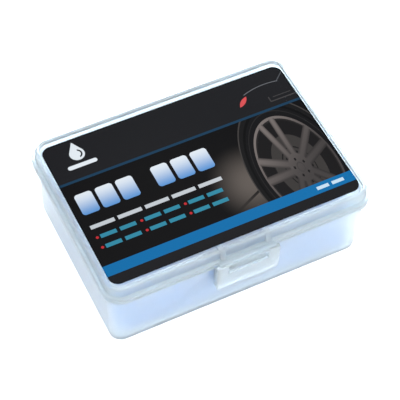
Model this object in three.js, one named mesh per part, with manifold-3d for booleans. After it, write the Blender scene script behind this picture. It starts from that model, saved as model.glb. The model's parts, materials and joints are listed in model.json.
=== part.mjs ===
// A clay bar for car detailing in its hinged storage box: a drafted tray with a flange, a
// shallow lid hinged to it at the rear, a snap latch hinged to the lid at the front, a
// printed label on the lid and the block of clay inside.
//
// Millimetres. The origin is on the surface that the box stands on, under its middle. +X runs
// along the length, +Y towards the rear hinge and +Z up.

import * as THREE from 'three';
import { mergeVertices } from 'three/addons/utils/BufferGeometryUtils.js';
import Module from 'manifold-3d';

const wasm = await Module();
wasm.setup();

// Driving dimensions -----------------------------------------------------------------------

const LENGTH = 96;                 // over the flanges, along X
const WIDTH = 68;                  // over the flanges, along Y
const FLANGE_RADIUS = 6.5;         // plan radius of the flange corners
const FLANGE_THICKNESS = 1.4;      // of the tray's flange and of the lid's
const CLEARANCE = 0.3;             // between pieces that touch
const OVERLAP = 0.5;               // how far two solids reach into each other before a join
const ARC_STEPS = 8;               // straight steps in a quarter circle

const TRAY = {
  rimHeight: 26.7,                 // top of the tray's flange
  wall: 1.2,
  floor: 1.5,
  insetTop: 1.5,                   // outer wall, in from the flange edge, just under the flange
  insetBottom: 2.2,                // the same at the underside: the wall leans in with its draft
  radius: 5,
  edgeRadius: 1.2,                 // around the underside
};

const LID = {
  wall: 1.1,
  panel: 1.2,                      // thickness of the top panel
  panelHeight: 31,                 // top of the panel, where the label lies
  crestHeight: 31.7,               // top of the bead around the panel
  bead: 1.3,                       // width of the bead
  insetBottom: 1.3,                // outer wall, in from the flange edge, just above the flange
  insetTop: 1.5,
  radius: 5.2,
  rimDepth: 1.8,                   // locating rim that reaches down inside the tray
  rimThickness: 1,
};

const RIBS = {
  spacing: 16.3,                   // between the middles of the two ribs at the front of the lid
  width: 2,
  start: 4.1,                      // from the flange edge back to the end of the rib on the panel
  crest: 1.6,                      // from the flange edge back to the top of its front slope
  toe: 0.2,                        // from the flange edge back to the foot of its front slope
  toeHeight: 0.5,                  // of that foot above the flange
  proud: 0.1,                      // above the bead
};

const LATCH = {
  width: 22.4,
  top: 27.3,
  bottom: 14,
  plate: 1.4,                      // thickness of the flap
  depth: 2.9,                      // of the flap with its rim
  proud: 2,                        // from the flange edge out to the face of the flap
  rim: 1.2,                        // width of the rim behind the flap's edges
  cornerRadius: 2.5,
  windowWidth: 14.4,
  windowBottom: 22.9,
  windowTop: 26.5,
};

const CATCH = {
  width: 12.8,
  proud: 1.4,                      // of its edge, out from the flange edge
  edgeTop: 24.2,                   // of the edge, where the lead-in slope ends
};

const HINGE = {
  length: 78,
  radius: 0.4,
  behind: 0.8,                     // from the flange edge back to the axis
};

const LATCH_HINGE = {
  length: 20,
  radius: 0.35,
  ahead: 0.7,                      // from the flange edge forward to the axis
};

const LABEL = { length: 89.5, width: 59, radius: 3.3, thickness: 0.2, lift: 0.05 };

const CLAY = { length: 86.4, width: 57.8, height: 17.8, radius: 3.5, edgeRadius: 1.2, lift: 0.1 };

// Heights and places that follow from them --------------------------------------------------

const frontEdge = -WIDTH / 2;
const rearEdge = WIDTH / 2;
const lidBottom = TRAY.rimHeight + CLEARANCE;
const lidFlangeTop = lidBottom + FLANGE_THICKNESS;
const trayFlangeBottom = TRAY.rimHeight - FLANGE_THICKNESS;
const partingHeight = (TRAY.rimHeight + lidBottom) / 2;
const catchBottom = LATCH.windowBottom + CLEARANCE;
const latchFace = frontEdge - LATCH.proud;
const latchHingeHeight = LATCH.top + LATCH_HINGE.ahead;

// Solids -------------------------------------------------------------------------------------

// A closed geometry as a solid that can be joined and cut.
function solid(geometry) {
  const bare = geometry.clone();
  bare.deleteAttribute('normal');
  bare.deleteAttribute('uv');
  const merged = mergeVertices(bare, 1e-4);
  return new wasm.Manifold(new wasm.Mesh({
    numProp: 3,
    vertProperties: new Float32Array(merged.attributes.position.array),
    triVerts: new Uint32Array(merged.index.array),
  }));
}

// A solid as a geometry with flat faces.
function geometryOf(body) {
  const { vertProperties, triVerts, numProp } = body.getMesh();
  const positions = new Float32Array((vertProperties.length / numProp) * 3);
  for (let i = 0; i < positions.length / 3; i += 1) {
    positions.set(vertProperties.subarray(i * numProp, i * numProp + 3), i * 3);
  }
  const geometry = new THREE.BufferGeometry();
  geometry.setAttribute('position', new THREE.BufferAttribute(positions, 3));
  geometry.setIndex(new THREE.BufferAttribute(new Uint32Array(triVerts), 1));
  geometry.computeVertexNormals();
  return geometry;
}

// A rectangle with round corners, centred on the origin.
function roundedRectangle(length, width, radius) {
  const x = length / 2;
  const y = width / 2;
  const shape = new THREE.Shape();
  shape.moveTo(x, y - radius);
  shape.absarc(x - radius, y - radius, radius, 0, Math.PI / 2, false);
  shape.absarc(radius - x, y - radius, radius, Math.PI / 2, Math.PI, false);
  shape.absarc(radius - x, radius - y, radius, Math.PI, 1.5 * Math.PI, false);
  shape.absarc(x - radius, radius - y, radius, 1.5 * Math.PI, 2 * Math.PI, false);
  return shape;
}

// An upright plate between two heights, inset from the flange outline.
function plate(inset, radius, low, high) {
  const outline = roundedRectangle(LENGTH - 2 * inset, WIDTH - 2 * inset, radius);
  const geometry = new THREE.ExtrudeGeometry(outline, {
    depth: high - low, bevelEnabled: false, curveSegments: ARC_STEPS,
  });
  return geometry.translate(0, 0, low);
}

// A plate whose wall leans: insetLow at its foot, insetHigh at its top.
function draftedPlate(insetLow, insetHigh, radius, low, high) {
  const geometry = plate(insetHigh, radius, low, high);
  const scaleX = (LENGTH - 2 * insetLow) / (LENGTH - 2 * insetHigh);
  const scaleY = (WIDTH - 2 * insetLow) / (WIDTH - 2 * insetHigh);
  const position = geometry.attributes.position;
  for (let i = 0; i < position.count; i += 1) {
    const share = (high - position.getZ(i)) / (high - low);
    position.setX(i, position.getX(i) * (1 + (scaleX - 1) * share));
    position.setY(i, position.getY(i) * (1 + (scaleY - 1) * share));
  }
  return geometry;
}

// A block with its edges rounded all round, standing at a height.
function softBlock(length, width, height, radius, edgeRadius, low) {
  const outline = roundedRectangle(length - 2 * edgeRadius, width - 2 * edgeRadius, radius);
  const geometry = new THREE.ExtrudeGeometry(outline, {
    depth: height - 2 * edgeRadius,
    bevelThickness: edgeRadius,
    bevelSize: edgeRadius,
    bevelSegments: 3,
    curveSegments: ARC_STEPS,
  });
  return geometry.translate(0, 0, low + edgeRadius);
}

// A box from its two corners.
function box(low, high) {
  const size = low.map((value, axis) => high[axis] - value);
  const middle = low.map((value, axis) => (high[axis] + value) / 2);
  return new THREE.BoxGeometry(...size).translate(...middle);
}

// A bar along X with the given section, a list of [y, z] points.
function bar(section, width, centreX) {
  const shape = new THREE.Shape(section.map(([y, z]) => new THREE.Vector2(y, z)));
  const geometry = new THREE.ExtrudeGeometry(shape, { depth: width, bevelEnabled: false });
  const turn = new THREE.Matrix4().makeBasis(
    new THREE.Vector3(0, 1, 0), new THREE.Vector3(0, 0, 1), new THREE.Vector3(1, 0, 0),
  );
  return geometry.applyMatrix4(turn).translate(centreX - width / 2, 0, 0);
}

// A round rod along X.
function rod(radius, length, y, z) {
  return new THREE.CylinderGeometry(radius, radius, length, 2 * ARC_STEPS)
    .rotateZ(Math.PI / 2)
    .translate(0, y, z);
}

// Sub-parts ----------------------------------------------------------------------------------

// The wedge under the front flange that the latch snaps over.
function catchWedge() {
  const edge = frontEdge - CATCH.proud;
  const root = frontEdge + TRAY.insetTop + TRAY.wall / 2;
  return bar([
    [root, catchBottom],
    [edge, catchBottom],
    [edge, CATCH.edgeTop],
    [frontEdge + OVERLAP, trayFlangeBottom + OVERLAP],
    [root, trayFlangeBottom + OVERLAP],
  ], CATCH.width, 0);
}

// The tray: a drafted shell with a flat underside, a flange around its mouth and the catch.
function baseTray() {
  const { insetTop, insetBottom, wall, floor, radius, edgeRadius, rimHeight } = TRAY;
  const shell = draftedPlate(insetBottom, insetTop, radius, edgeRadius, rimHeight);
  const foot = softBlock(
    LENGTH - 2 * insetBottom, WIDTH - 2 * insetBottom, 3 * edgeRadius,
    radius - edgeRadius, edgeRadius, 0,
  );
  const flange = plate(0, FLANGE_RADIUS, trayFlangeBottom, rimHeight);
  const hollow = draftedPlate(
    insetBottom + wall, insetTop + wall, radius - wall, floor, rimHeight + OVERLAP,
  );
  return geometryOf(
    solid(shell).add(solid(foot)).add(solid(flange)).subtract(solid(hollow))
      .add(solid(catchWedge())),
  );
}

// One of the two ribs that stiffen the lid's edge over the latch.
function rib(centreX) {
  const top = LID.crestHeight + RIBS.proud;
  const inPanel = LID.panelHeight - LID.panel / 2;
  const inWall = frontEdge + LID.insetTop + LID.wall / 2;
  const inFlange = lidFlangeTop - OVERLAP;
  return bar([
    [frontEdge + RIBS.start, inPanel],
    [frontEdge + RIBS.start, top],
    [frontEdge + RIBS.crest, top],
    [frontEdge + RIBS.toe, lidFlangeTop + RIBS.toeHeight],
    [frontEdge + RIBS.toe, inFlange],
    [inWall, inFlange],
    [inWall, inPanel],
  ], RIBS.width, centreX);
}

// The lid: a shallow cap with a flange, a panel sunk inside a bead, and a locating rim below.
function lid() {
  const { wall, panel, panelHeight, crestHeight, bead, insetBottom, insetTop, radius } = LID;
  const cap = draftedPlate(insetBottom, insetTop, radius, lidBottom, crestHeight);
  const flange = plate(0, FLANGE_RADIUS, lidBottom, lidFlangeTop);
  const recess = plate(insetTop + bead, radius - bead, panelHeight, crestHeight + OVERLAP);
  const rimInset = TRAY.insetTop + TRAY.wall + CLEARANCE;
  const rimFoot = lidBottom - LID.rimDepth;
  const rim = plate(rimInset, TRAY.radius - TRAY.wall, rimFoot, lidBottom + OVERLAP);
  const hollow = plate(
    rimInset + LID.rimThickness, radius - wall - LID.rimThickness,
    rimFoot - OVERLAP, panelHeight - panel,
  );
  const half = RIBS.spacing / 2;
  return geometryOf(
    solid(cap).add(solid(flange)).subtract(solid(recess))
      .add(solid(rim)).subtract(solid(hollow))
      .add(solid(rib(-half))).add(solid(rib(half))),
  );
}

// The flap's outline seen from the front, with round lower corners.
function flapOutline() {
  const x = LATCH.width / 2;
  const r = LATCH.cornerRadius;
  const shape = new THREE.Shape();
  shape.moveTo(x, LATCH.top);
  shape.lineTo(-x, LATCH.top);
  shape.lineTo(-x, LATCH.bottom + r);
  shape.absarc(r - x, LATCH.bottom + r, r, Math.PI, 1.5 * Math.PI, false);
  shape.absarc(x - r, LATCH.bottom + r, r, 1.5 * Math.PI, 2 * Math.PI, false);
  return shape;
}

// The latch: a flap with a window for the catch and a rim behind its sides and foot.
function frontLatch() {
  const geometry = new THREE.ExtrudeGeometry(flapOutline(), {
    depth: LATCH.depth, bevelEnabled: false, curveSegments: ARC_STEPS,
  });
  const flap = geometry.rotateX(Math.PI / 2).translate(0, latchFace + LATCH.depth, 0);
  const back = latchFace + LATCH.plate;
  const beyond = latchFace + LATCH.depth + OVERLAP;
  const halfWidth = LATCH.width / 2;
  const pocket = box(
    [LATCH.rim - halfWidth, back, LATCH.bottom + LATCH.rim],
    [halfWidth - LATCH.rim, beyond, LATCH.top],
  );
  const flangeRoom = box(
    [-halfWidth - OVERLAP, back, trayFlangeBottom - CLEARANCE],
    [halfWidth + OVERLAP, beyond, LATCH.top + OVERLAP],
  );
  const window = box(
    [-LATCH.windowWidth / 2, latchFace - OVERLAP, LATCH.windowBottom],
    [LATCH.windowWidth / 2, beyond, LATCH.windowTop],
  );
  return geometryOf(
    solid(flap).subtract(solid(pocket)).subtract(solid(flangeRoom)).subtract(solid(window)),
  );
}

// The printed label, lying on the lid's panel.
function topLabel() {
  const outline = roundedRectangle(LABEL.length, LABEL.width, LABEL.radius);
  return new THREE.ExtrudeGeometry(outline, {
    depth: LABEL.thickness, bevelEnabled: false, curveSegments: ARC_STEPS,
  }).translate(0, 0, LID.panelHeight + LABEL.lift);
}

// The block of clay, lying on the floor of the tray.
function clayBar() {
  const { length, width, height, radius, edgeRadius, lift } = CLAY;
  return softBlock(length, width, height, radius, edgeRadius, TRAY.floor + lift);
}

// The thin webs that the lid and the latch turn on, as rods along their axes.
function rearHingeWeb() {
  return rod(HINGE.radius, HINGE.length, rearEdge + HINGE.behind, partingHeight);
}

function latchHingeWeb() {
  return rod(
    LATCH_HINGE.radius, LATCH_HINGE.length, frontEdge - LATCH_HINGE.ahead, latchHingeHeight,
  );
}

// Assembly -----------------------------------------------------------------------------------

const FROSTED = { color: 0xd6e4f0, roughness: 0.35, metalness: 0 };
const PRINTED = { color: 0x17161a, roughness: 0.25, metalness: 0 };
const PUTTY = { color: 0x2f86e8, roughness: 0.7, metalness: 0 };

const group = new THREE.Group();

function add(name, geometry, finish) {
  const mesh = new THREE.Mesh(geometry, new THREE.MeshStandardMaterial(finish));
  mesh.name = name;
  group.add(mesh);
}

add('base_tray', baseTray(), FROSTED);
add('lid', lid(), FROSTED);
add('front_latch', frontLatch(), FROSTED);
add('rear_hinge_web', rearHingeWeb(), FROSTED);
add('latch_hinge_web', latchHingeWeb(), FROSTED);
add('top_label', topLabel(), PRINTED);
add('clay_bar', clayBar(), PUTTY);

export default group;
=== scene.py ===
"""The looks of a clay bar in its hinged storage box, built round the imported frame.

Lengths are in metres and stand in the frame's own axes: +X along the box, +Y towards the
rear hinge, +Z up, with the origin on the surface that the box stands on.
"""

import json
import logging
import math
from dataclasses import dataclass, field
from enum import Enum
from functools import reduce
from typing import Iterable, NamedTuple, Sequence

import bmesh
import bpy
from mathutils import Matrix, Vector, noise

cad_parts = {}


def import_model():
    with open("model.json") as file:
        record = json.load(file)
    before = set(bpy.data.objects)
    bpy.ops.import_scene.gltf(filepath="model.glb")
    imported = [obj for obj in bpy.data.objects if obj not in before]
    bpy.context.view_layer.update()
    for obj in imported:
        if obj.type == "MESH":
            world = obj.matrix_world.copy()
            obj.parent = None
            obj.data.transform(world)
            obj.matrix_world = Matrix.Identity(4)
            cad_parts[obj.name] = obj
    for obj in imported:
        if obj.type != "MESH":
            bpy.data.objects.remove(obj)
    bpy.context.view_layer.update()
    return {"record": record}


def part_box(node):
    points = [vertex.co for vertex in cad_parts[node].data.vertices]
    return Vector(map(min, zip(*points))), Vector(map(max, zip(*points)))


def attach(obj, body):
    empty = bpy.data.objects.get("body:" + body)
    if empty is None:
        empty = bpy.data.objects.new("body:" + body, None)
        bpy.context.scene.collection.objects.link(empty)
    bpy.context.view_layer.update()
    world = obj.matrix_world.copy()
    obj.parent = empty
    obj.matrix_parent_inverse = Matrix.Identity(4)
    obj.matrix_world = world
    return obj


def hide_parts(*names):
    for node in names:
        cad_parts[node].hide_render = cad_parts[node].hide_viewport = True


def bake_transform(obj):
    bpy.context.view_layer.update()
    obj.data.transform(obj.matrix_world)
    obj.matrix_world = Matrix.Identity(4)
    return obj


LOG = logging.getLogger("clay_bar_box")

MM = 0.001
QUARTER_STEPS = 14  # straight steps in a quarter circle seen from above
SHARP_ANGLE = math.radians(38)
MERGE_DISTANCE = 0.002 * MM
DEEP = 100.0  # past the label's own height, so that height is left out of its shapes

Colour = tuple[float, float, float, float]
BLACK: Colour = (0, 0, 0, 1)


class Body(Enum):
    """The rigid bodies of the frame."""

    TRAY = "tray"
    COVER = "cover"
    LATCH = "latch"


class Slot(Enum):
    """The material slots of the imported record."""

    FROSTED = "frosted_polypropylene"
    FILM = "printed_film"
    CLAY = "blue_clay"


class Corner(NamedTuple):
    """A corner of a wall's section, before it is rounded.

    Attributes:
        inset: distance in from the flange's edge.
        height: height above the table.
        radius: radius of the round at this corner.
    """

    inset: float
    height: float
    radius: float


# Shared mesh work ---------------------------------------------------------------------------


def rounded_path(corners: Sequence[Corner], steps: int = 5) -> list[tuple[float, float]]:
    """Rounds the corners of a section.

    Args:
        corners: the section's corners in order; the first and last stay where they are.
        steps: straight steps in each round.

    Returns:
        The points of the section as (inset, height).
    """
    points = [(corners[0].inset, corners[0].height)]
    for before, here, after in zip(corners, corners[1:], corners[2:]):
        corner = Vector((here.inset, here.height))
        back = (Vector((before.inset, before.height)) - corner).normalized()
        ahead = (Vector((after.inset, after.height)) - corner).normalized()
        half = back.angle(ahead) / 2
        reach = here.radius / math.tan(half)
        middle = corner + (back + ahead).normalized() * (here.radius / math.sin(half))
        start, end = corner + back * reach - middle, corner + ahead * reach - middle
        for step in range(steps + 1):
            points.append(tuple(middle + start.slerp(end, step / steps) * here.radius))
    points.append((corners[-1].inset, corners[-1].height))
    return points


def rounded_plate(
    bm: bmesh.types.BMesh, length: float, width: float, radius: float, height: float
) -> bmesh.types.BMFace:
    """Makes a flat face with round corners.

    Args:
        bm: the mesh that takes it.
        length: its size along X.
        width: its size along Y.
        radius: radius of its corners.
        height: its height above the table.

    Returns:
        The new face.
    """
    made = bmesh.ops.create_grid(bm, x_segments=1, y_segments=1, size=0.5)
    bmesh.ops.scale(bm, vec=(length, width, 1), verts=made["verts"])
    bmesh.ops.translate(bm, vec=(0, 0, height), verts=made["verts"])
    made = bmesh.ops.bevel(
        bm,
        geom=made["verts"],
        offset=radius,
        offset_type="OFFSET",
        segments=QUARTER_STEPS,
        profile=0.5,
        affect="VERTICES",
        material=-1,
    )
    return made["verts"][0].link_faces[0]


def turned_shell(
    length: float, width: float, corner: float, section: Sequence[Corner]
) -> bmesh.types.BMesh:
    """Carries a wall's section round a rectangle with round corners, and closes both ends.

    Args:
        length: the rectangle's size along X at inset 0.
        width: its size along Y at inset 0.
        corner: radius of its corners at inset 0.
        section: the wall's section, from one closed end to the other.

    Returns:
        A closed mesh.
    """
    bm = bmesh.new()
    (inset, height), *onward = rounded_path(section)
    face = rounded_plate(bm, length - 2 * inset, width - 2 * inset, corner - inset, height)
    first = face
    for inset, height in onward:
        made = bmesh.ops.extrude_face_region(bm, geom=[face])
        if face is not first:  # only the two end faces stay, so that nothing lies inside
            bmesh.ops.delete(bm, geom=[face], context="FACES_ONLY")
        face = next(item for item in made["geom"] if isinstance(item, bmesh.types.BMFace))
        for vert in face.verts:
            across = math.copysign(length / 2 - corner, vert.co.x)
            along = math.copysign(width / 2 - corner, vert.co.y)
            middle = Vector((across, along))
            outward = (vert.co.xy - middle).normalized()
            vert.co = (*(middle + outward * (corner - inset)), height)
    bmesh.ops.recalc_face_normals(bm, faces=bm.faces)
    return bm


def bar_along_x(
    section: Sequence[tuple[float, float]], low: float, high: float
) -> bmesh.types.BMesh:
    """Makes a solid bar along X.

    Args:
        section: the corners of its section as (y, z).
        low: where it starts along X.
        high: where it ends along X.

    Returns:
        A closed mesh.
    """
    bm = bmesh.new()
    verts = [bm.verts.new((low, y, z)) for y, z in section]
    face = bm.faces.new(verts)
    made = bmesh.ops.extrude_face_region(bm, geom=[face])
    moved = [item for item in made["geom"] if isinstance(item, bmesh.types.BMVert)]
    bmesh.ops.translate(bm, vec=(high - low, 0, 0), verts=moved)
    bmesh.ops.recalc_face_normals(bm, faces=bm.faces)
    return bm


def block(low: Sequence[float], high: Sequence[float]) -> bmesh.types.BMesh:
    """Makes a plain block between two corners, as a tool for a cut."""
    bm = bmesh.new()
    made = bmesh.ops.create_cube(bm, size=1)
    bmesh.ops.scale(bm, vec=[h - l for l, h in zip(low, high)], verts=made["verts"])
    bmesh.ops.translate(bm, vec=[(h + l) / 2 for l, h in zip(low, high)], verts=made["verts"])
    return bm


def soften(bm: bmesh.types.BMesh, width: float, segments: int, least_angle: float) -> None:
    """Bevels the mesh's edges that turn by more than an angle.

    Args:
        bm: the mesh to change.
        width: width of the bevel.
        segments: straight steps across it.
        least_angle: edges that turn less than this stay.
    """
    edges = [e for e in bm.edges if e.is_manifold and e.calc_face_angle(0) > least_angle]
    bmesh.ops.bevel(
        bm,
        geom=edges,
        offset=width,
        offset_type="OFFSET",
        segments=segments,
        profile=0.5,
        affect="EDGES",
        clamp_overlap=True,
        material=-1,
    )


def as_piece(name: str, bm: bmesh.types.BMesh) -> bpy.types.Object:
    """Turns a bmesh into an object with smooth faces and sharp corners.

    Args:
        name: the object's name.
        bm: its mesh, which is freed.

    Returns:
        The object, linked to the scene.
    """
    mesh = bpy.data.meshes.new(name)
    bm.to_mesh(mesh)
    bm.free()
    mesh.polygons.foreach_set("use_smooth", [True] * len(mesh.polygons))
    mesh.set_sharp_from_angle(angle=SHARP_ANGLE)
    piece = bpy.data.objects.new(name, mesh)
    bpy.context.scene.collection.objects.link(piece)
    return piece


def combine(
    name: str, base: bmesh.types.BMesh, tools: Iterable[tuple[str, bmesh.types.BMesh]]
) -> bmesh.types.BMesh:
    """Joins tools to a solid or cuts them out of it.

    Args:
        name: a name for the work in hand.
        base: the solid, which is used up.
        tools: pairs of "UNION" or "DIFFERENCE" and the tool's mesh, which is used up.

    Returns:
        The mesh that results.
    """
    piece = as_piece(name, base)
    helpers = []
    for index, (operation, tool) in enumerate(tools):
        helper = as_piece(f"{name}_tool_{index}", tool)
        helpers.append(helper)
        modifier = piece.modifiers.new(f"step_{index}", "BOOLEAN")
        modifier.operation = operation
        modifier.solver = "EXACT"
        modifier.object = helper
    graph = bpy.context.evaluated_depsgraph_get()
    made = bmesh.new()
    made.from_object(piece, graph)
    for item in [piece, *helpers]:
        mesh = item.data
        bpy.data.objects.remove(item)
        bpy.data.meshes.remove(mesh)
    bmesh.ops.remove_doubles(made, verts=made.verts, dist=MERGE_DISTANCE)
    return made


def dress(
    piece: bpy.types.Object, material: bpy.types.Material, node: str
) -> None:
    """Gives a piece its material, and says which node it stands for.

    Args:
        piece: the finished piece.
        material: its material.
        node: the frame's node that it stands for.
    """
    piece.data.materials.clear()
    piece.data.materials.append(material)
    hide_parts(node)
    LOG.info("%s: %d faces, for %s", piece.name, len(piece.data.polygons), node)


def settle(
    piece: bpy.types.Object, body: Body, material: bpy.types.Material, node: str
) -> None:
    """Dresses a rigid piece and puts it on its body."""
    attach(piece, body.value)
    dress(piece, material, node)


# Shader work --------------------------------------------------------------------------------


class Graph:
    """A material's node tree, with short calls for the nodes that the finishes use."""

    def __init__(self, name: str) -> None:
        """Starts a material with an empty tree and one Principled shader."""
        self.material = bpy.data.materials.new(name)
        self.material.use_nodes = True
        self.tree = self.material.node_tree
        self.tree.nodes.clear()
        self.output = self.tree.nodes.new("ShaderNodeOutputMaterial")
        self.shader = self.tree.nodes.new("ShaderNodeBsdfPrincipled")
        self.link(self.shader.outputs[0], self.output.inputs["Surface"])

    def link(self, source: bpy.types.NodeSocket, target: bpy.types.NodeSocket) -> None:
        """Links two sockets."""
        self.tree.links.new(source, target)

    def feed(self, target: bpy.types.NodeSocket, value: object) -> None:
        """Links a socket to an input, or sets the input to a plain value."""
        if isinstance(value, bpy.types.NodeSocket):
            self.link(value, target)
        else:
            target.default_value = value

    def place(self, scale: float = 1.0) -> bpy.types.NodeSocket:
        """Gives the piece's own coordinates, with a metre as long as scale."""
        where = self.tree.nodes.new("ShaderNodeTexCoord")
        mapping = self.tree.nodes.new("ShaderNodeMapping")
        mapping.inputs["Scale"].default_value = (scale, scale, scale)
        self.link(where.outputs["Object"], mapping.inputs["Vector"])
        return mapping.outputs[0]

    def math(self, operation: str, *values: object) -> bpy.types.NodeSocket:
        """Works out one number from others.

        Args:
            operation: a Math node's operation.
            *values: its inputs, as sockets or numbers.

        Returns:
            A number socket.
        """
        node = self.tree.nodes.new("ShaderNodeMath")
        node.operation = operation
        for target, value in zip(node.inputs, values):
            self.feed(target, value)
        return node.outputs[0]

    def vector(self, operation: str, *values: object) -> bpy.types.Node:
        """Makes a Vector Math node from sockets or plain vectors."""
        node = self.tree.nodes.new("ShaderNodeVectorMath")
        node.operation = operation
        for target, value in zip(node.inputs, values):
            self.feed(target, value)
        return node

    def blur(self, value: object, low: float, high: float) -> bpy.types.NodeSocket:
        """A number that goes smoothly from 0 at low to 1 at high."""
        node = self.tree.nodes.new("ShaderNodeMapRange")
        node.interpolation_type = "SMOOTHSTEP"
        self.feed(node.inputs["Value"], value)
        node.inputs["From Min"].default_value = low
        node.inputs["From Max"].default_value = high
        return node.outputs[0]

    def mix(self, factor: object, first: object, second: object) -> bpy.types.NodeSocket:
        """A colour between two others."""
        node = self.tree.nodes.new("ShaderNodeMix")
        node.data_type = "RGBA"
        self.feed(node.inputs[0], factor)
        self.feed(node.inputs[6], first)
        self.feed(node.inputs[7], second)
        return node.outputs[2]

    def speckle(
        self, scale: float, detail: float = 3.0, rough: float = 0.5
    ) -> bpy.types.NodeSocket:
        """A noise over the piece.

        Args:
            scale: features to the metre.
            detail: octaves.
            rough: how strong the fine octaves are.

        Returns:
            A number socket, about 0.5 on average.
        """
        node = self.tree.nodes.new("ShaderNodeTexNoise")
        node.inputs["Scale"].default_value = scale
        node.inputs["Detail"].default_value = detail
        node.inputs["Roughness"].default_value = rough
        self.link(self.place(), node.inputs["Vector"])
        return node.outputs["Fac"]

    def between(
        self, value: bpy.types.NodeSocket, low: float, high: float
    ) -> bpy.types.NodeSocket:
        """Stretches a number from 0..1 to low..high."""
        return self.math("MULTIPLY_ADD", value, high - low, low)

    def bump(self, height: bpy.types.NodeSocket, distance: float, strength: float = 1.0) -> None:
        """Raises the shader's surface by a height of up to a distance in metres."""
        node = self.tree.nodes.new("ShaderNodeBump")
        node.inputs["Distance"].default_value = distance
        node.inputs["Strength"].default_value = strength
        self.link(height, node.inputs["Height"])
        self.link(node.outputs[0], self.shader.inputs["Normal"])


def srgb(red: int, green: int, blue: int) -> Colour:
    """A colour as linear light, from its 0 to 255 screen values."""

    def linear(value: int) -> float:
        share = value / 255
        return share / 12.92 if share <= 0.04045 else ((share + 0.055) / 1.055) ** 2.4

    return (linear(red), linear(green), linear(blue), 1.0)


@dataclass(frozen=True)
class FrostedPlastic:
    """Natural polypropylene: translucent, faintly milky, with a fine moulded texture."""

    name: str = "frosted_polypropylene"
    tint: Colour = srgb(241, 251, 255)
    shade: Colour = srgb(233, 247, 255)
    clearness: float = 0.88
    roughness: tuple[float, float] = (0.29, 0.36)
    refraction: float = 1.49
    milkiness: float = 1.0
    depth: float = 4 * MM
    cloud_scale: float = 90
    grit_scale: float = 420
    ripple_scale: float = 240
    ripple_height: float = 0.02 * MM
    ripple_strength: float = 0.25

    def build(self) -> bpy.types.Material:
        """Makes the material."""
        graph = Graph(self.name)
        shader = graph.shader
        clouds = graph.speckle(self.cloud_scale, 2)
        graph.feed(shader.inputs["Base Color"], graph.mix(clouds, self.tint, self.shade))
        grit = graph.speckle(self.grit_scale)
        graph.feed(shader.inputs["Roughness"], graph.between(grit, *self.roughness))
        shader.inputs["IOR"].default_value = self.refraction
        shader.inputs["Transmission Weight"].default_value = self.clearness
        shader.inputs["Subsurface Weight"].default_value = self.milkiness
        shader.inputs["Subsurface Radius"].default_value = (1, 1, 1)
        shader.inputs["Subsurface Scale"].default_value = self.depth
        ripples = graph.speckle(self.ripple_scale, 2, 0.4)
        graph.bump(ripples, self.ripple_height, self.ripple_strength)
        return graph.material


@dataclass(frozen=True)
class PuttyClay:
    """Dense blue detailing clay, matte, with a pressed and slightly grainy skin."""

    name: str = "blue_clay"
    light: Colour = srgb(14, 146, 224)
    deep: Colour = srgb(6, 128, 210)
    roughness: tuple[float, float] = (0.55, 0.8)
    cloud_scale: float = 140
    grit_scale: float = 600
    grain_scale: float = 900
    dent_scale: float = 160
    grain_height: float = 0.12 * MM

    def build(self) -> bpy.types.Material:
        """Makes the material."""
        graph = Graph(self.name)
        shader = graph.shader
        clouds = graph.speckle(self.cloud_scale, 4, 0.6)
        graph.feed(shader.inputs["Base Color"], graph.mix(clouds, self.light, self.deep))
        grit = graph.speckle(self.grit_scale)
        graph.feed(shader.inputs["Roughness"], graph.between(grit, *self.roughness))
        shader.inputs["Specular IOR Level"].default_value = 0.35
        grain = graph.speckle(self.grain_scale, 4, 0.65)
        dents = graph.speckle(self.dent_scale, 2)
        graph.bump(graph.math("ADD", grain, dents), self.grain_height, 0.5)
        return graph.material


@dataclass(frozen=True)
class StudioFloor:
    """A plain pale light table with a faint unevenness."""

    name: str = "studio_floor"
    glow: float = 0.45
    glow_colour: Colour = (0.9, 0.95, 1.0, 1)
    grey: Colour = (0.9, 0.9, 0.9, 1)
    pale: Colour = (0.92, 0.92, 0.92, 1)

    def build(self) -> bpy.types.Material:
        """Makes the material."""
        graph = Graph(self.name)
        shader = graph.shader
        clouds = graph.speckle(6, 2)
        graph.feed(shader.inputs["Base Color"], graph.mix(clouds, self.grey, self.pale))
        shader.inputs["Roughness"].default_value = 0.8
        shader.inputs["Specular IOR Level"].default_value = 0.1
        shader.inputs["Emission Color"].default_value = self.glow_colour
        shader.inputs["Emission Strength"].default_value = self.glow
        return graph.material


class Print(NamedTuple):
    """A patch of ink: a colour and where it is laid, from 0 to 1."""

    colour: object
    mask: bpy.types.NodeSocket


class Span(NamedTuple):
    """A stretch of one measure: its middle and half its length."""

    middle: float
    half: float


class Bar(NamedTuple):
    """A rectangle with sides along X and Y: its middle and half its size."""

    middle: tuple[float, float]
    half: tuple[float, float]


class Slant(NamedTuple):
    """A sloping line: y = slope * x + offset, with half its thickness along Y."""

    slope: float
    offset: float
    half: float


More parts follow.
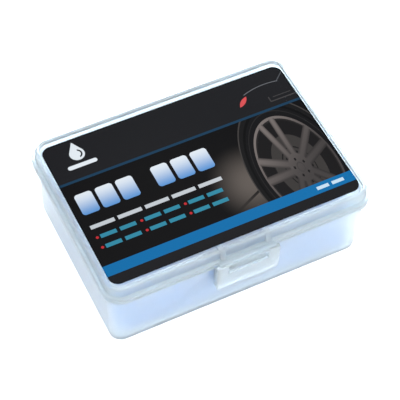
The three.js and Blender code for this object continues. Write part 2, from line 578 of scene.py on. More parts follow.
class Sheet:
    """The label's plane in millimetres from its middle, with masks for printed shapes.

    Every mask is a number socket, 1 inside its shape and 0 outside.
    """

    def __init__(self, graph: Graph) -> None:
        """Splits the label's coordinates."""
        self.graph = graph
        self.place = graph.place(1 / MM)
        parts = graph.tree.nodes.new("ShaderNodeSeparateXYZ")
        graph.link(self.place, parts.inputs[0])
        self.x, self.y, self.z = parts.outputs

    def within(self, value: bpy.types.NodeSocket, span: Span) -> bpy.types.NodeSocket:
        """1 where a number is inside a span."""
        return self.graph.math("COMPARE", value, *span)

    def both(
        self, first: bpy.types.NodeSocket, second: bpy.types.NodeSocket
    ) -> bpy.types.NodeSocket:
        """Where two masks overlap."""
        return self.graph.math("MULTIPLY", first, second)

    def union(self, masks: Iterable[bpy.types.NodeSocket]) -> bpy.types.NodeSocket:
        """Where any of some masks is."""
        return reduce(lambda first, second: self.graph.math("MAXIMUM", first, second), masks)

    def less(self, value: bpy.types.NodeSocket, limit: object) -> bpy.types.NodeSocket:
        """1 where a number is under a limit."""
        return self.graph.math("LESS_THAN", value, limit)

    def size(self, value: bpy.types.NodeSocket) -> bpy.types.NodeSocket:
        """A number without its sign."""
        return self.graph.math("ABSOLUTE", value)

    def bar(self, bar: Bar) -> bpy.types.NodeSocket:
        """A rectangle."""
        across = self.within(self.x, Span(bar.middle[0], bar.half[0]))
        return self.both(across, self.within(self.y, Span(bar.middle[1], bar.half[1])))

    def pill(self, bar: Bar, radius: float) -> bpy.types.NodeSocket:
        """A rectangle with round corners."""
        graph = self.graph
        core = (bar.half[0] - radius, bar.half[1] - radius, DEEP)
        from_middle = graph.vector("SUBTRACT", self.place, (*bar.middle, 0)).outputs[0]
        away = graph.vector("ABSOLUTE", from_middle).outputs[0]
        beyond = graph.vector("SUBTRACT", away, core).outputs[0]
        beyond = graph.vector("MAXIMUM", beyond, (0, 0, 0)).outputs[0]
        return self.less(graph.vector("LENGTH", beyond).outputs["Value"], radius)

    def distance(
        self, middle: tuple[float, float], squeeze: float = 1.0
    ) -> bpy.types.NodeSocket:
        """Distance from a point, with X first divided by squeeze."""
        math_node = self.graph.math
        across = math_node("DIVIDE", math_node("SUBTRACT", self.x, middle[0]), squeeze)
        along = math_node("SUBTRACT", self.y, middle[1])
        across_square = math_node("MULTIPLY", across, across)
        along_square = math_node("MULTIPLY", along, along)
        return math_node("SQRT", math_node("ADD", across_square, along_square))

    def line(self, line: Slant) -> bpy.types.NodeSocket:
        """A sloping line."""
        height = self.graph.math("MULTIPLY_ADD", self.x, line.slope, line.offset)
        return self.less(self.size(self.graph.math("SUBTRACT", self.y, height)), line.half)

    def row(self, bars: Sequence[Span], height: Span) -> bpy.types.NodeSocket:
        """Bars side by side in a row."""
        return self.both(
            self.union(self.within(self.x, bar) for bar in bars), self.within(self.y, height)
        )


@dataclass(frozen=True)
class CarTail:
    """A lit patch of bodywork over a sill, and a tail-lamp under a roof line."""

    glow_middle: tuple[float, float] = (13.0, -12.0)
    glow_squeeze: float = 0.9
    glow_fade: tuple[float, float] = (1.0, 17.0)
    sill: Slant = Slant(0.46, -22.4, 0.5)
    roof_middle: tuple[float, float] = (36.2, -2.2)
    roof: Span = Span(25.7, 0.16)
    roof_stretch: Bar = Bar((34.4, 22.0), (6.8, 3.0))
    boot: Slant = Slant(0.85, -11.6, 0.22)
    boot_stretch: Span = Span(42.9, 1.85)
    lamp_middles: tuple[tuple[float, float], ...] = ((28.6, 16.6), (23.6, 22.2))
    lamp_radius: float = 4.6
    bumper: tuple[Bar, ...] = (
        Bar((39.8, 15.6), (4.95, 0.22)),
        Bar((34.9, 16.6), (0.2, 1.2)),
        Bar((39.8, 17.2), (3.4, 0.14)),
    )
    bodywork: Colour = srgb(102, 93, 87)
    roof_light: Colour = srgb(112, 113, 117)
    boot_light: Colour = srgb(88, 90, 94)
    lamp: Colour = srgb(226, 84, 86)
    trim: Colour = srgb(72, 69, 69)

    def prints(self, sheet: Sheet, panel: bpy.types.NodeSocket, night: Colour) -> list[Print]:
        """Lays the inks.

        Args:
            sheet: the label's plane.
            panel: the mask of the dark panel.
            night: the panel's colour, which the sill's line shows.

        Returns:
            The patches, from the lowest up.
        """
        away = sheet.distance(self.glow_middle, self.glow_squeeze)
        faded = sheet.graph.blur(away, *self.glow_fade)
        glow = sheet.both(sheet.graph.math("SUBTRACT", 1, faded), panel)
        roof = sheet.within(sheet.distance(self.roof_middle), self.roof)
        lamp = [sheet.less(sheet.distance(point), self.lamp_radius) for point in self.lamp_middles]
        boot = sheet.both(sheet.line(self.boot), sheet.within(sheet.x, self.boot_stretch))
        return [
            Print(self.bodywork, glow),
            Print(night, sheet.both(sheet.line(self.sill), glow)),
            Print(self.roof_light, sheet.both(roof, sheet.bar(self.roof_stretch))),
            Print(self.boot_light, boot),
            Print(self.lamp, sheet.both(*lamp)),
            Print(self.trim, sheet.union(sheet.bar(bar) for bar in self.bumper)),
        ]


@dataclass(frozen=True)
class Wheel:
    """A twin-spoke wheel seen at a slant, in its tyre and arch, measured from its middle."""

    middle: tuple[float, float] = (30.7, -13.4)
    squeeze: float = 0.56
    spokes: int = 5
    turn: float = 0.12
    arch: float = 31.2
    arch_lip: float = 30.5
    arch_gap: float = 28.4
    tyre: float = 27.2
    tyre_line: Span = Span(25.6, 0.16)
    rim: float = 23.2
    rim_step: float = 22.0
    barrel: float = 21.2
    disc: Span = Span(11.0, 3.6)
    disc_groove: Span = Span(9.0, 0.3)
    spoke_end: float = 22.4
    spoke_spread: tuple[float, float] = (0.17, 0.6)
    spoke_half: tuple[float, float] = (-0.01, 2.0)
    ridge: tuple[float, float] = (0.25, 1.0)
    hub: float = 6.2
    bolts: Span = Span(3.7, 0.55)
    bolt_share: float = 0.12
    cap: Span = Span(2.0, 0.3)
    lit_slope: float = -0.5
    lit_from: tuple[float, float] = (-20.0, 14.0)
    alloy: Colour = srgb(124, 114, 110)
    alloy_shade: Colour = srgb(70, 65, 64)
    barrel_ink: Colour = srgb(24, 22, 23)
    arch_ink: Colour = srgb(66, 62, 60)
    lip_ink: Colour = srgb(22, 21, 22)
    gap_ink: Colour = srgb(6, 6, 7)
    tyre_ink: Colour = srgb(18, 17, 19)
    tyre_line_ink: Colour = srgb(44, 42, 42)
    step_ink: Colour = srgb(38, 35, 35)
    disc_ink: Colour = srgb(62, 58, 56)

    def prints(self, sheet: Sheet, panel: bpy.types.NodeSocket) -> list[Print]:
        """Lays the inks.

        Args:
            sheet: the label's plane.
            panel: the mask of the dark panel, which cuts the wheel off.

        Returns:
            The patches, from the lowest up.
        """
        graph = sheet.graph
        radius = sheet.distance(self.middle, self.squeeze)
        across = graph.math(
            "DIVIDE", graph.math("SUBTRACT", sheet.x, self.middle[0]), self.squeeze
        )
        along = graph.math("SUBTRACT", sheet.y, self.middle[1])
        full_turn = 2 * math.pi
        angle = graph.math("ARCTAN2", along, across)
        turns = graph.math("MULTIPLY_ADD", angle, self.spokes / full_turn, self.spokes + self.turn)
        sector = graph.math("SUBTRACT", graph.math("FRACT", turns), 0.5)
        off_middle = graph.math("MULTIPLY", sector, full_turn / self.spokes)
        aside = graph.math("MULTIPLY", graph.math("SINE", off_middle), radius)
        spread = graph.math("MULTIPLY_ADD", radius, *self.spoke_spread)
        off_spoke = sheet.size(graph.math("SUBTRACT", sheet.size(aside), spread))
        half = graph.math("MULTIPLY_ADD", radius, *self.spoke_half)
        worn = graph.blur(graph.math("DIVIDE", off_spoke, half), *self.ridge)
        ridge = graph.math("SUBTRACT", 1, worn)
        lit = graph.blur(
            graph.math("MULTIPLY_ADD", across, self.lit_slope, sheet.y), *self.lit_from
        )
        metal = graph.mix(lit, self.alloy_shade, self.alloy)
        spoke_metal = graph.mix(graph.between(ridge, 0.45, 1.0), self.barrel_ink, metal)
        bolts = sheet.both(
            sheet.within(radius, self.bolts), sheet.less(sheet.size(sector), self.bolt_share)
        )

        def inside(limit: float) -> bpy.types.NodeSocket:
            """A disc round the wheel's middle."""
            return sheet.both(sheet.less(radius, limit), panel)

        def ring(span: Span) -> bpy.types.NodeSocket:
            """A ring round the wheel's middle."""
            return sheet.both(sheet.within(radius, span), panel)

        return [
            Print(self.arch_ink, inside(self.arch)),
            Print(self.lip_ink, inside(self.arch_lip)),
            Print(self.gap_ink, inside(self.arch_gap)),
            Print(self.tyre_ink, inside(self.tyre)),
            Print(self.tyre_line_ink, ring(self.tyre_line)),
            Print(metal, inside(self.rim)),
            Print(self.step_ink, inside(self.rim_step)),
            Print(self.barrel_ink, inside(self.barrel)),
            Print(self.disc_ink, ring(self.disc)),
            Print(self.barrel_ink, ring(self.disc_groove)),
            Print(spoke_metal, sheet.both(sheet.less(off_spoke, half), inside(self.spoke_end))),
            Print(metal, inside(self.hub)),
            Print(self.barrel_ink, bolts),
            Print(self.alloy_shade, ring(self.cap)),
        ]


@dataclass(frozen=True)
class WordBars:
    """Evenly laid blocks and bars where the words would be."""

    margin: float = -42.0
    gap: float = 1.2
    headline_block: float = 6.0
    headline_row: Span = Span(3.2, 4.3)
    headline_groups: int = 2
    group_blocks: int = 3
    group_pitch: float = 27.0
    corner: float = 1.1
    fade: tuple[float, float] = (-2.4, 8.4)
    tagline_bar: float = 8.4
    tagline_bars: int = 5
    tagline_row: Span = Span(-6.3, 0.75)
    cells: int = 3
    cell_pitch: float = 15.5
    cell_bar: float = 5.6
    bar_offset: float = 1.6
    dot: float = 0.5
    cell_rows: tuple[Span, ...] = (Span(-10.6, 0.75), Span(-14.7, 0.75))
    corner_bar: float = 4.4
    corner_start: float = 31.0
    corner_row: Span = Span(-23.5, 0.65)
    white: Colour = srgb(240, 244, 248)
    foot: Colour = srgb(82, 148, 214)
    pale: Colour = srgb(205, 208, 212)
    teal: Colour = srgb(52, 140, 165)
    red: Colour = srgb(205, 45, 52)
    pale_blue: Colour = srgb(205, 228, 244)

    def even_row(self, start: float, length: float, count: int) -> list[Span]:
        """Lays equal bars in a row from a start along X."""
        return [
            Span(start + length / 2 + index * (length + self.gap), length / 2)
            for index in range(count)
        ]

    def prints(self, sheet: Sheet) -> list[Print]:
        """Lays the headline's blocks, the rows of bars under it and their dots."""
        tone = sheet.graph.mix(sheet.graph.blur(sheet.y, *self.fade), self.foot, self.white)
        blocks = []
        for group in range(self.headline_groups):
            start = self.margin + group * self.group_pitch
            for span in self.even_row(start, self.headline_block, self.group_blocks):
                middle = (span.middle, self.headline_row.middle)
                half = (span.half, self.headline_row.half)
                blocks.append(sheet.pill(Bar(middle, half), self.corner))
        bars, dots = [], []
        for cell in range(self.cells):
            start = self.margin + cell * self.cell_pitch
            bars += self.even_row(start + self.bar_offset, self.cell_bar, 2)
            for row in self.cell_rows:
                dot_middle = (start + self.dot, row.middle)
                dots.append(sheet.less(sheet.distance(dot_middle), self.dot))
        tagline = self.even_row(self.margin, self.tagline_bar, self.tagline_bars)
        corner = self.even_row(self.corner_start, self.corner_bar, 2)
        return [
            Print(tone, sheet.union(blocks)),
            Print(self.pale, sheet.row(tagline, self.tagline_row)),
            *(Print(self.teal, sheet.row(bars, row)) for row in self.cell_rows),
            Print(self.red, sheet.union(dots)),
            Print(self.pale_blue, sheet.row(corner, self.corner_row)),
        ]


@dataclass(frozen=True)
class Badge:
    """A plain drop of water over a plain bar."""

    middle: tuple[float, float] = (-34.0, 22.9)
    bowl: float = 2.6
    tip: float = 5.2
    tip_stretch: Span = Span(3.2, 2.0)
    tip_slope: float = 0.577
    shine: Span = Span(1.55, 0.28)
    shine_start: float = 0.5
    bar: Bar = Bar((-34.0, 18.2), (5.2, 0.8))
    white: Colour = srgb(240, 244, 248)

    def prints(self, sheet: Sheet, ground: Colour) -> list[Print]:
        """Lays the drop and the bar, with a shine in the drop in the ground's colour."""
        graph = sheet.graph
        x, y = self.middle
        radius = sheet.distance(self.middle)
        below_tip = graph.math("SUBTRACT", y + self.tip, sheet.y)
        fall = graph.math("MULTIPLY", below_tip, self.tip_slope)
        side = sheet.size(graph.math("SUBTRACT", sheet.x, x))
        stretch = Span(y + self.tip_stretch.middle, self.tip_stretch.half)
        tip = sheet.both(sheet.less(side, fall), sheet.within(sheet.y, stretch))
        drop = [sheet.less(radius, self.bowl), tip, sheet.pill(self.bar, self.bar.half[1])]
        right = graph.math("GREATER_THAN", sheet.x, x + self.shine_start)
        shine = sheet.both(sheet.within(radius, self.shine), right)
        return [Print(self.white, sheet.union(drop)), Print(ground, shine)]


@dataclass(frozen=True)
class PrintedFilm:
    """A laminated print: bands, word bars, a badge, a car's tail and a wheel.

    Attributes:
        density: how much the print is darkened, from 0 to 1.
        split_height: height in millimetres over which the film shows its printed side.
        backing: the colour of its underside.
    """

    name: str = "printed_film"
    density: float = 0.58
    split_height: float = 31.1
    roughness: tuple[float, float] = (0.3, 0.42)
    panel: Span = Span(-4.6, 16.9)
    thin_line: Span = Span(12.75, 0.5)
    stripe: Span = Span(-23.55, 2.05)
    backing: Colour = srgb(222, 226, 230)
    charcoal: Colour = srgb(29, 29, 32)
    night: Colour = srgb(9, 8, 10)
    line_ink: Colour = srgb(26, 62, 88)
    cyan: Colour = srgb(12, 112, 172)

    def build(self) -> bpy.types.Material:
        """Makes the material."""
        graph = Graph(self.name)
        shader = graph.shader
        sheet = Sheet(graph)
        panel = sheet.within(sheet.y, self.panel)
        prints = [
            Print(self.night, panel),
            *CarTail().prints(sheet, panel, self.night),
            *Wheel().prints(sheet, panel),
            Print(self.line_ink, sheet.within(sheet.y, self.thin_line)),
            Print(self.cyan, sheet.within(sheet.y, self.stripe)),
            *WordBars().prints(sheet),
            *Badge().prints(sheet, self.charcoal),
        ]
        colour: object = self.charcoal
        for patch in prints:
            colour = graph.mix(patch.mask, colour, patch.colour)
        front = graph.mix(self.density, colour, BLACK)
        printed_side = graph.math("GREATER_THAN", sheet.z, self.split_height)
        graph.feed(shader.inputs["Base Color"], graph.mix(printed_side, self.backing, front))
        grit = graph.speckle(300)
        graph.feed(shader.inputs["Roughness"], graph.between(grit, *self.roughness))
        shader.inputs["Specular IOR Level"].default_value = 0.03
        graph.bump(graph.speckle(1500, 2), 0.01 * MM, 0.25)
        return graph.material


# Sub-assemblies -----------------------------------------------------------------------------


@dataclass
class Moulding:
    """The sizes that the tray and the lid share."""

    length: float
    width: float
    parting: float
    flange: float = 1.4 * MM
    corner: float = 6.5 * MM
    gap: float = 0.3 * MM

    @property
    def front(self) -> float:
        """Y of the flange's front edge."""
        return -self.width / 2

    @property
    def rear(self) -> float:
        """Y of the flange's rear edge."""
        return self.width / 2


@dataclass
class Tray:
    """The drafted tray with its flange and the catch for the latch."""

    shape: Moulding
    wall: float = 1.2 * MM
    floor: float = 1.5 * MM
    inset_top: float = 1.5 * MM
    inset_bottom: float = 2.2 * MM
    middle: float = 6.0 * MM
    catch_half: float = 6.4 * MM
    catch_low: float = 23.2 * MM
    catch_edge: float = 24.2 * MM
    catch_proud: float = 1.4 * MM
    catch_buried: float = 0.5 * MM

    def section(self) -> list[Corner]:
        """The wall's section, from the floor inside to the underside."""
        rim, flange = self.shape.parting, self.shape.flange
        return [
            Corner(self.middle, self.floor, 0),
            Corner(self.inset_bottom + self.wall, self.floor, 1.1 * MM),
            Corner(self.inset_top + self.wall, rim, 0.4 * MM),
            Corner(0, rim, 0.45 * MM),
            Corner(0, rim - flange, 0.4 * MM),
            Corner(self.inset_top, rim - flange, 0.3 * MM),
            Corner(self.inset_bottom, 0, 1.3 * MM),
            Corner(self.middle, 0, 0),
        ]

    def catch(self) -> bmesh.types.BMesh:
        """The wedge under the front flange that the latch snaps over."""
        edge = self.shape.front - self.catch_proud
        root = self.shape.front + self.inset_top + self.wall / 2
        under = self.shape.parting - self.shape.flange
        bm = bar_along_x(
            [
                (root, self.catch_low),
                (edge, self.catch_low),
                (edge, self.catch_edge),
                (self.shape.front + self.catch_buried, under + self.catch_buried),
                (root, under + self.catch_buried),
            ],
            -self.catch_half,
            self.catch_half,
        )
        soften(bm, 0.18 * MM, 2, math.radians(20))
        return bm

    def build(self, material: bpy.types.Material) -> bpy.types.Object:
        """Makes the tray.

        Args:
            material: its plastic.

        Returns:
            The finished piece.
        """
        shape = self.shape
        shell = turned_shell(shape.length, shape.width, shape.corner, self.section())
        piece = as_piece("tray_shell", combine("tray_work", shell, [("UNION", self.catch())]))
        settle(piece, Body.TRAY, material, "base_tray")
        return piece


@dataclass
class Lid:
    """The shallow lid: flange, low wall, sunk panel inside a bead, ribs and locating rim."""

    shape: Moulding
    panel_top: float = 31.0 * MM
    crest: float = 31.7 * MM
    panel: float = 1.2 * MM
    inset_bottom: float = 1.3 * MM
    inset_top: float = 1.5 * MM
    bead: float = 1.3 * MM
    rim_inset: float = 3.0 * MM
    rim_thickness: float = 1.0 * MM
    rim_depth: float = 1.8 * MM
    middle: float = 6.0 * MM
    rib_spacing: float = 16.3 * MM
    rib_half: float = 1.0 * MM
    rib_back: float = 4.1 * MM
    rib_front: float = 1.6 * MM
    rib_foot: float = 0.2 * MM
    rib_proud: float = 0.1 * MM
    buried: float = 0.5 * MM

    @property
    def bottom(self) -> float:
        """Height of the flange's underside."""
        return self.shape.parting + self.shape.gap

    def section(self) -> list[Corner]:
        """The wall's section, from under the panel round the flange to the panel's top."""
        low, top = self.bottom, self.bottom + self.shape.flange
        rim_inner = self.rim_inset + self.rim_thickness
        return [
            Corner(self.middle, self.panel_top - self.panel, 0),
            Corner(rim_inner, self.panel_top - self.panel, 0.5 * MM),
            Corner(rim_inner, low - self.rim_depth, 0.3 * MM),
            Corner(self.rim_inset, low - self.rim_depth, 0.35 * MM),
            Corner(self.rim_inset, low, 0.12 * MM),
            Corner(0, low, 0.4 * MM),
            Corner(0, top, 0.5 * MM),
            Corner(self.inset_bottom, top, 0.35 * MM),
            Corner(self.inset_top, self.crest, 0.6 * MM),
            Corner(self.inset_top + self.bead, self.crest, 0.5 * MM),
            Corner(self.inset_top + self.bead + 0.15 * MM, self.panel_top, 0.25 * MM),
            Corner(self.middle, self.panel_top, 0),
        ]

    def rib(self, middle: float) -> bmesh.types.BMesh:
        """One of the two ribs that run over the bead and down to the flange."""
        front = self.shape.front
        top = self.crest + self.rib_proud
        flange_top = self.bottom + self.shape.flange
        in_panel = self.panel_top - self.panel / 2
        in_wall = front + self.inset_top + 0.6 * MM
        bm = bar_along_x(
            [
                (front + self.rib_back, in_panel),
                (front + self.rib_back, top),
                (front + self.rib_front, top),
                (front + self.rib_foot, flange_top + self.buried),
                (front + self.rib_foot, flange_top - self.buried),
                (in_wall, flange_top - self.buried),
                (in_wall, in_panel),
            ],
            middle - self.rib_half,
            middle + self.rib_half,
        )
        soften(bm, 0.3 * MM, 3, math.radians(20))
        return bm

    def build(self, material: bpy.types.Material) -> bpy.types.Object:
        """Makes the lid.

        Args:
            material: its plastic.

        Returns:
            The finished piece.
        """
        shape = self.shape
        shell = turned_shell(shape.length, shape.width, shape.corner, self.section())
        half = self.rib_spacing / 2
        tools = [("UNION", self.rib(-half)), ("UNION", self.rib(half))]
        piece = as_piece("lid_shell", combine("lid_work", shell, tools))
        settle(piece, Body.COVER, material, "lid")
        return piece


@dataclass
class Latch:
    """The flap at the front: a plate with a window, a rim behind it and soft edges."""

    low: Vector
    high: Vector
    plate: float = 1.4 * MM
    rim: float = 1.2 * MM
    corner: float = 2.5 * MM
    window_half: float = 7.2 * MM
    window_low: float = 22.9 * MM
    window_high: float = 26.5 * MM
    flange_room: float = 25.0 * MM

    def outline(self) -> bmesh.types.BMesh:
        """The flap as a solid with two round lower corners."""
        bm = bmesh.new()
        made = bmesh.ops.create_grid(bm, x_segments=1, y_segments=1, size=0.5)
        verts = made["verts"]
        size = self.high - self.low
        bmesh.ops.scale(bm, vec=(size.x, size.z, 1), verts=verts)
        bmesh.ops.rotate(bm, matrix=Matrix.Rotation(math.pi / 2, 3, "X"), verts=verts)
        middle = (self.low + self.high) / 2
        bmesh.ops.translate(bm, vec=(middle.x, self.low.y, middle.z), verts=verts)
        lower = [v for v in verts if v.co.z < middle.z]
        bmesh.ops.bevel(
            bm, geom=lower, offset=self.corner, offset_type="OFFSET", segments=8,
            profile=0.5, affect="VERTICES", material=-1,
        )
        made = bmesh.ops.extrude_face_region(bm, geom=list(bm.faces), use_keep_orig=True)
        moved = [item for item in made["geom"] if isinstance(item, bmesh.types.BMVert)]
        bmesh.ops.translate(bm, vec=(0, size.y, 0), verts=moved)
        bmesh.ops.recalc_face_normals(bm, faces=bm.faces)
        return bm

    def build(self, material: bpy.types.Material) -> bpy.types.Object:
        """Makes the flap.

        Args:
            material: its plastic.

        Returns:
            The finished piece.
        """
        low, high, over = self.low, self.high, 1 * MM
        back = low.y + self.plate
        pocket = block(
            (low.x + self.rim, back, low.z + self.rim), (high.x - self.rim, high.y + over, high.z)
        )
        room = block(
            (low.x - over, back, self.flange_room), (high.x + over, high.y + over, high.z + over)
        )
        window = block(
            (-self.window_half, low.y - over, self.window_low),
            (self.window_half, high.y + over, self.window_high),
        )
        cuts = [("DIFFERENCE", pocket), ("DIFFERENCE", room), ("DIFFERENCE", window)]
        bm = combine("latch_work", self.outline(), cuts)
        bmesh.ops.dissolve_limit(bm, angle_limit=math.radians(2), verts=bm.verts, edges=bm.edges)
        soften(bm, 0.3 * MM, 3, math.radians(50))
        piece = as_piece("latch_flap", bm)
        settle(piece, Body.LATCH, material, "front_latch")
        return piece


@dataclass
class HingeWeb:
    """A thin web of plastic that bends between two bodies."""

    name: str
    node: str
    path: Sequence[tuple[float, float]]
    half_length: float
    bodies: tuple[Body, Body]
    thickness: float = 0.35 * MM
    lengthwise: int = 4  # strips along X

    def build(self, material: bpy.types.Material) -> bpy.types.Object:
        """Makes the web as a strip along its path and thickens it.

        Args:
            material: its plastic.

        Returns:
            The finished piece.
        """
        bm = bmesh.new()
        verts = [bm.verts.new((-self.half_length, y, z)) for y, z in self.path]
        edges = [bm.edges.new(pair) for pair in zip(verts, verts[1:])]
        for _ in range(self.lengthwise):
            made = bmesh.ops.extrude_edge_only(bm, edges=edges)
            moved = [item for item in made["geom"] if isinstance(item, bmesh.types.BMVert)]
            edges = [item for item in made["geom"] if isinstance(item, bmesh.types.BMEdge)]
            edges = [e for e in edges if all(v in moved for v in e.verts)]
            step = 2 * self.half_length / self.lengthwise
            bmesh.ops.translate(bm, vec=(step, 0, 0), verts=moved)
        bmesh.ops.recalc_face_normals(bm, faces=bm.faces)
        bmesh.ops.solidify(bm, geom=list(bm.faces), thickness=self.thickness)
        bmesh.ops.recalc_face_normals(bm, faces=bm.faces)
        piece = as_piece(self.name, bm)
        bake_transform(piece)
        dress(piece, material, self.node)
        return piece


@dataclass
class Label:
    """The laminated print on the lid's panel."""

    low: Vector
    high: Vector
    panel_top: float
    corner: float = 3.3 * MM
    thickness: float = 0.14 * MM

    def build(self, material: bpy.types.Material) -> bpy.types.Object:
        """Makes the label.

        Args:
            material: its printed film.

        Returns:
            The finished piece.
        """
        bm = bmesh.new()
        size = self.high - self.low
        face = rounded_plate(bm, size.x, size.y, self.corner, self.panel_top + 0.03 * MM)
        made = bmesh.ops.extrude_face_region(bm, geom=[face], use_keep_orig=True)
        moved = [item for item in made["geom"] if isinstance(item, bmesh.types.BMVert)]
        bmesh.ops.translate(bm, vec=(0, 0, self.thickness), verts=moved)
        bmesh.ops.recalc_face_normals(bm, faces=bm.faces)
        soften(bm, 0.04 * MM, 2, math.radians(50))
        piece = as_piece("printed_label", bm)
        settle(piece, Body.COVER, material, "top_label")
        return piece


@dataclass
class ClayBlock:
    """The block of clay: pressed flat, with soft edges and a slightly uneven skin."""

    low: Vector
    high: Vector
    corner: float = 4.7 * MM
    edge: float = 1.3 * MM
    middle: float = 4.5 * MM
    pitch: float = 2.9 * MM
    unevenness: float = 0.12 * MM
    broad_waves: float = 55.0
    fine_waves: float = 170.0
    least_dip: float = 0.8

    def build(self, material: bpy.types.Material) -> bpy.types.Object:
        """Makes the block.

        Args:
            material: its clay.

        Returns:
            The finished piece.
        """
        size = self.high - self.low
        section = [
            Corner(self.middle, self.low.z, 0),
            Corner(0, self.low.z, self.edge),
            Corner(0.25 * MM, self.high.z, self.edge),
            Corner(self.middle, self.high.z, 0),
        ]
        bm = turned_shell(size.x, size.y, self.corner, section)
        for axis, reach in ((0, size.x / 2), (1, size.y / 2)):
            plane = Vector((axis == 0, axis == 1, 0))
            cuts = int(reach / self.pitch)
            for cut in range(-cuts, cuts + 1):
                parts = [*bm.verts, *bm.edges, *bm.faces]
                point = plane * cut * self.pitch
                bmesh.ops.bisect_plane(bm, geom=parts, plane_co=point, plane_no=plane)
        for vert in bm.verts:
            broad = noise.noise(vert.co * self.broad_waves)
            fine = noise.noise(vert.co * self.fine_waves)
            height = vert.co.z - (self.low.z + self.high.z) / 2
            outward = Vector((vert.co.x, vert.co.y, height)).normalized()
            vert.co -= outward * self.unevenness * (broad + 0.5 * fine + self.least_dip)
        piece = as_piece("clay_block", bm)
        settle(piece, Body.TRAY, material, "clay_bar")
        return piece


# Studio -------------------------------------------------------------------------------------


class SoftBox(NamedTuple):
    """A rectangular soft light.

    Attributes:
        name: its name.
        place: where it hangs.
        aim: the point that it faces.
        size: its width and height.
        power: its power in watts.
    """

    name: str
    place: tuple[float, float, float]
    aim: tuple[float, float, float]
    size: tuple[float, float]
    power: float


@dataclass
class Studio:
    """The floor, the lights and the camera."""

    aim: Vector = field(default_factory=lambda: Vector((0, 0, 11.52 * MM)))
    yaw: float = math.radians(28.55)
    pitch: float = math.radians(54.04)
    roll: float = math.radians(2.71)
    distance: float = 473.3 * MM
    aside: float = 0.56 * MM
    above: float = 1.34 * MM
    lens: float = 125.2
    sensor: float = 36.0
    sky_colour: Colour = (0.9, 0.955, 1.0, 1)
    sky_strength: float = 1.42
    boxes: tuple[SoftBox, ...] = (
        SoftBox("key", (0.6, -1.0, 0.6), (0, 0, 0.02), (1.2, 0.8), 9.0),
        SoftBox("top", (0.2, 0.2, 1.3), (0, 0, 0), (1.5, 1.5), 18.0),
    )

    def camera(self) -> None:
        """Makes the camera, looking down at the front left corner of the box."""
        ahead = Vector((
            math.sin(self.yaw) * math.cos(self.pitch),
            math.cos(self.yaw) * math.cos(self.pitch),
            -math.sin(self.pitch),
        ))
        level = Vector((math.cos(self.yaw), -math.sin(self.yaw), 0))
        upright = level.cross(ahead)
        right = level * math.cos(self.roll) + upright * math.sin(self.roll)
        up = upright * math.cos(self.roll) - level * math.sin(self.roll)
        data = bpy.data.cameras.new("camera")
        data.lens = self.lens
        data.sensor_width = self.sensor
        data.clip_start, data.clip_end = 0.01, 20
        camera = bpy.data.objects.new("camera", data)
        place = self.aim - ahead * self.distance + right * self.aside + up * self.above
        turn = Matrix((right, up, -ahead)).transposed().to_4x4()
        camera.matrix_world = Matrix.Translation(place) @ turn
        bpy.context.scene.collection.objects.link(camera)
        bpy.context.scene.camera = camera

    def floor(self) -> None:
        """Makes the floor, a large plain sheet under the box."""
        bm = bmesh.new()
        bmesh.ops.create_grid(bm, x_segments=4, y_segments=4, size=3.0)
        bmesh.ops.translate(bm, vec=(0, 0, -0.05 * MM), verts=bm.verts)
        floor = as_piece("studio_floor", bm)
        floor.data.materials.append(StudioFloor().build())

    def hang(self, box: SoftBox) -> None:
        """Hangs a rectangular soft light, which the plastic doesn't show as a bright patch."""
        data = bpy.data.lights.new(box.name, "AREA")
        data.shape = "RECTANGLE"
        data.size, data.size_y = box.size
        data.energy = box.power
        light = bpy.data.objects.new(box.name, data)
        light.location = box.place
        light.visible_transmission = False
        facing = Vector(box.aim) - Vector(box.place)
        light.rotation_euler = facing.to_track_quat("-Z", "Y").to_euler()
        bpy.context.scene.collection.objects.link(light)

    def sky(self) -> None:
        """Fills the room with even, faintly blue light."""
        world = bpy.data.worlds.new("room")
        world.use_nodes = True
        background = world.node_tree.nodes["Background"]
        background.inputs["Color"].default_value = self.sky_colour
        background.inputs["Strength"].default_value = self.sky_strength
        bpy.context.scene.world = world

    def build(self) -> None:
        """Sets up the whole studio."""
        scene = bpy.context.scene
        scene.view_settings.view_transform = "Standard"
        self.camera()
        self.floor()
        self.sky()
        for box in self.boxes:
            self.hang(box)
        LOG.info("studio ready")


# Assembly -----------------------------------------------------------------------------------


def node_box(node: str) -> tuple[Vector, Vector]:
    """Lowest and highest corner of a node of the frame."""
    low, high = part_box(node)
    return Vector(low), Vector(high)


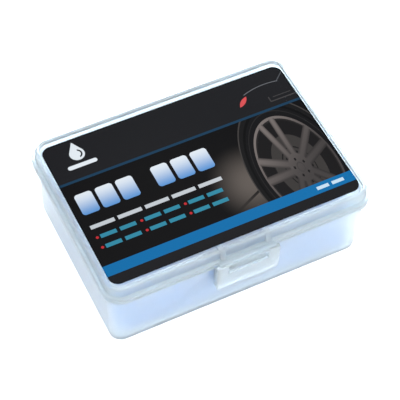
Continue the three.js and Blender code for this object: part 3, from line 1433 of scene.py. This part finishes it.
def hinge_axis(frame: dict, name: str) -> Vector:
    """A point on a joint's axis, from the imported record."""
    joints = frame["record"]["behaviour"]["joints"]
    return Vector(next(joint["pos_m"] for joint in joints if joint["name"] == name))


def arc(
    middle: Vector, radius: float, start: float, end: float, steps: int = 8
) -> list[tuple[float, float]]:
    """Points on an arc seen along X, as (y, z), with angles in degrees from +Y towards +Z."""
    angles = [math.radians(start + (end - start) * step / steps) for step in range(steps + 1)]
    return [(middle.y + radius * math.cos(a), middle.z + radius * math.sin(a)) for a in angles]


def main() -> None:
    """Builds the studio and every piece."""
    logging.basicConfig(level=logging.INFO, format="%(name)s: %(message)s")
    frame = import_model()
    Studio().build()

    lid_low, lid_high = node_box("lid")
    _, tray_high = node_box("base_tray")
    shape = Moulding(lid_high.x - lid_low.x, lid_high.y - lid_low.y, tray_high.z)
    plastic = FrostedPlastic().build()

    Tray(shape).build(plastic)
    lid = Lid(shape)
    lid.build(plastic)
    Latch(*node_box("front_latch")).build(plastic)

    hook = 0.1 * MM  # how far a web's end reaches into a flange
    axis = hinge_axis(frame, "lid_hinge")
    curl = arc(axis + Vector((0, -0.15 * MM, 0)), 0.65 * MM, -90, 90)
    rear = shape.rear - hook
    rear_path = [(rear, curl[0][1]), *curl, (rear, curl[-1][1])]
    ends = (Body.TRAY, Body.COVER)
    HingeWeb("rear_web", "rear_hinge_web", rear_path, 39 * MM, ends).build(plastic)

    pivot = hinge_axis(frame, "latch_hinge")
    bend = arc(pivot + Vector((0, 0, -0.45 * MM)), 0.6 * MM, 90, 180)
    front_path = [
        (shape.front + hook, bend[0][1]), *bend, (bend[-1][0], pivot.z - 0.8 * MM),
    ]
    ends = (Body.COVER, Body.LATCH)
    HingeWeb("latch_web", "latch_hinge_web", front_path, 10 * MM, ends).build(plastic)

    label_low, label_high = node_box("top_label")
    Label(label_low, label_high, lid.panel_top).build(PrintedFilm().build())
    ClayBlock(*node_box("clay_bar")).build(PuttyClay().build())

    LOG.info("all pieces built")


if __name__ == "__main__":
    main()
